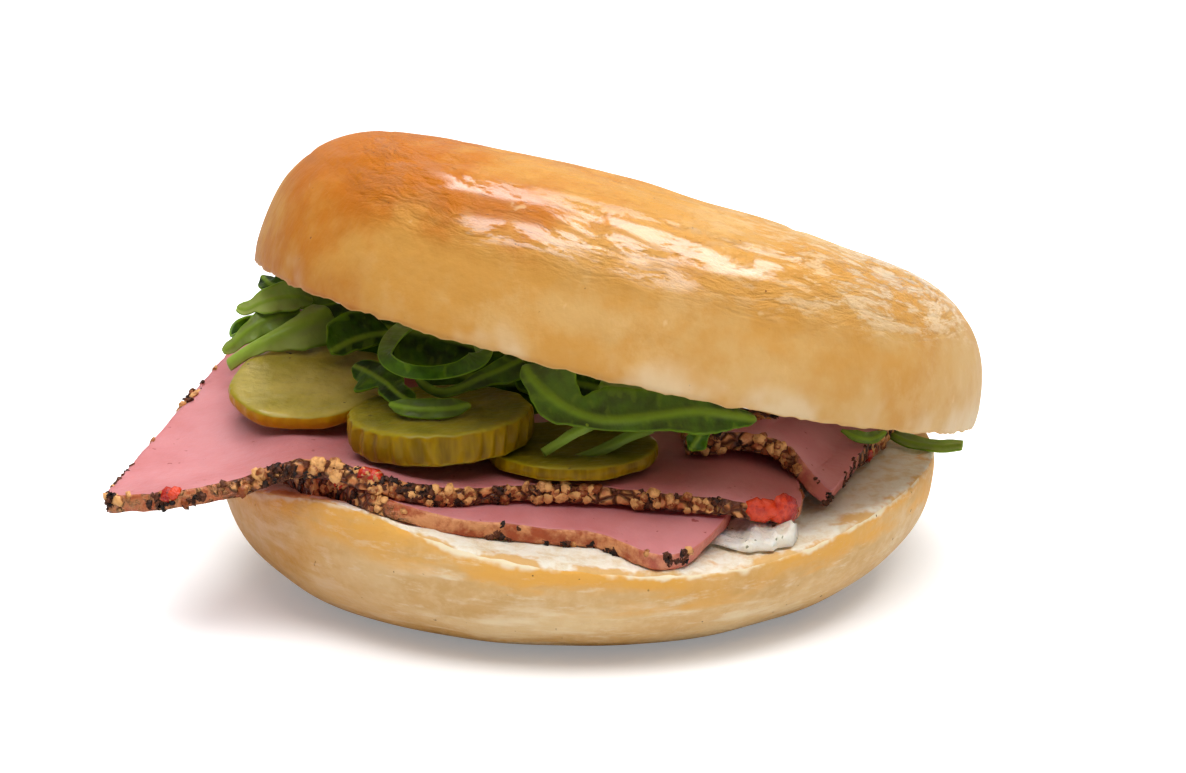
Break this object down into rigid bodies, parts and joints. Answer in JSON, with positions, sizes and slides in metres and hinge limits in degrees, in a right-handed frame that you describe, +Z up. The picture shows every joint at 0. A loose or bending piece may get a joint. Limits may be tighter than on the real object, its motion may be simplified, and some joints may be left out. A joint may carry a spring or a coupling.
{
  "type": "bagel sandwich",
  "caption": "Sliced bagel propped open by stacked peppered pastrami, pickle slices and rocket leaves over a thin layer of soft cheese.",
  "frame": {"origin": "middle of the underside of the whole sandwich's bounding box", "axes": "+Z up, +X to the side that the crown leans down to, -Y towards the open side that shows the filling"},
  "size_m": [0.1336, 0.1166, 0.0723],
  "materials": {
    "bagel": "baked crust, glossy on top and satin on its sides, with a pale dull crumb where it is cut",
    "soft_cheese": "satin, soft and ragged",
    "pastrami": "moist satin, with a rough peppered rim",
    "pickle": "wet and slightly see-through",
    "rocket": "satin leaf"
  },
  "bodies": {
    "root": {"bagel_heel": "bagel", "bagel_crown": "bagel", "spread": "soft_cheese", "pastrami_lower": "pastrami", "pastrami_upper": "pastrami", "pastrami_folded": "pastrami", "pastrami_doubled": "pastrami", "pickle_middle": "pickle", "pickle_right": "pickle", "pickle_left": "pickle", "rocket_tip": "rocket", "rocket_curl": "rocket", "rocket_left": "rocket", "rocket_long": "rocket", "rocket_shade": "rocket", "rocket_loop": "rocket", "rocket_blade": "rocket", "rocket_lobed": "rocket", "rocket_front": "rocket", "rocket_stem": "rocket", "rocket_cut_stem": "rocket", "rocket_pale": "rocket", "rocket_edge": "rocket", "rocket_right": "rocket", "rocket_inner": "rocket", "rocket_core": "rocket", "rocket_side": "rocket", "rocket_under": "rocket", "rocket_back": "rocket"}
  },
  "joints": []
}
